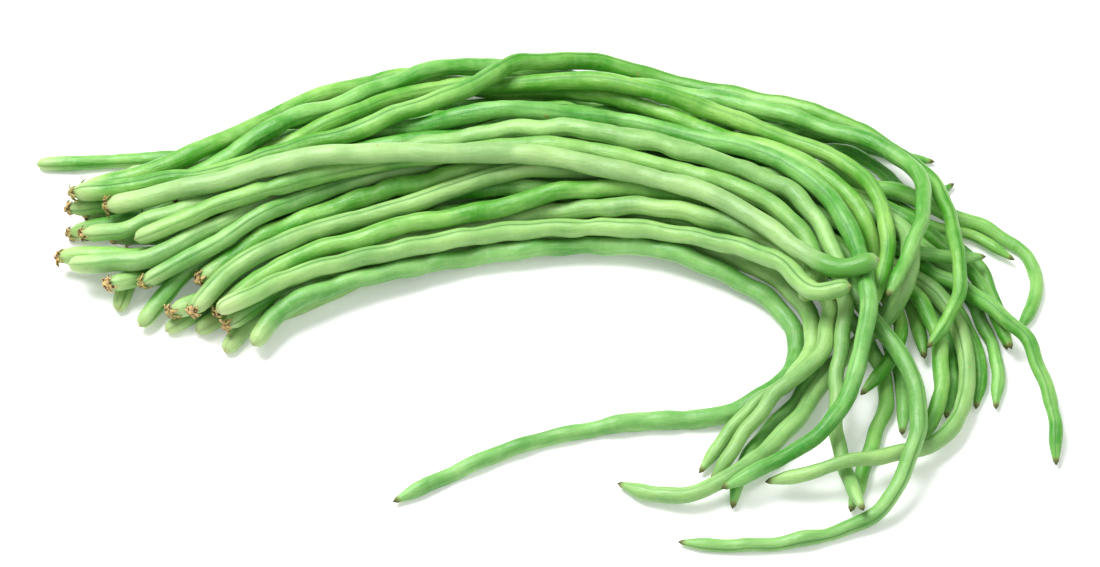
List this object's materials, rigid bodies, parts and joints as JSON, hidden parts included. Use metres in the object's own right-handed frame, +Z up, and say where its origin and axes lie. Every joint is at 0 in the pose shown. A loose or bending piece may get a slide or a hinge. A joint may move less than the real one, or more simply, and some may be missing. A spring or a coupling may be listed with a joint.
{
  "type": "yardlong bean bunch",
  "caption": "Loose bunch of fresh yardlong beans lying in an arc, stem ends together and thin tips fanned out, for resting on a table, tray or market stall.",
  "frame": {"origin": "on the surface, under the middle of the bunch's box", "axes": "+X along the bunch, from the stem ends to the fanned tips; -Y the side that the tips curl towards; +Z up"},
  "size_m": [0.4894, 0.2808, 0.0522],
  "materials": {
    "pod_skin": "fresh light green pod skin with a soft gloss; matte_plastic stands in for plant skin"
  },
  "bodies": {
    "root": {"pod_01": "pod_skin", "pod_02": "pod_skin", "pod_03": "pod_skin", "pod_04": "pod_skin", "pod_05": "pod_skin", "pod_06": "pod_skin", "pod_07": "pod_skin", "pod_08": "pod_skin", "pod_09": "pod_skin", "pod_10": "pod_skin", "pod_11": "pod_skin", "pod_12": "pod_skin", "pod_13": "pod_skin", "pod_14": "pod_skin", "pod_15": "pod_skin", "pod_16": "pod_skin", "pod_17": "pod_skin", "pod_18": "pod_skin", "pod_19": "pod_skin", "pod_20": "pod_skin", "pod_21": "pod_skin", "pod_22": "pod_skin", "pod_23": "pod_skin", "pod_24": "pod_skin", "pod_25": "pod_skin", "pod_26": "pod_skin", "pod_27": "pod_skin", "pod_28": "pod_skin", "pod_29": "pod_skin", "pod_30": "pod_skin", "pod_31": "pod_skin", "pod_32": "pod_skin", "pod_33": "pod_skin"}
  },
  "joints": []
}
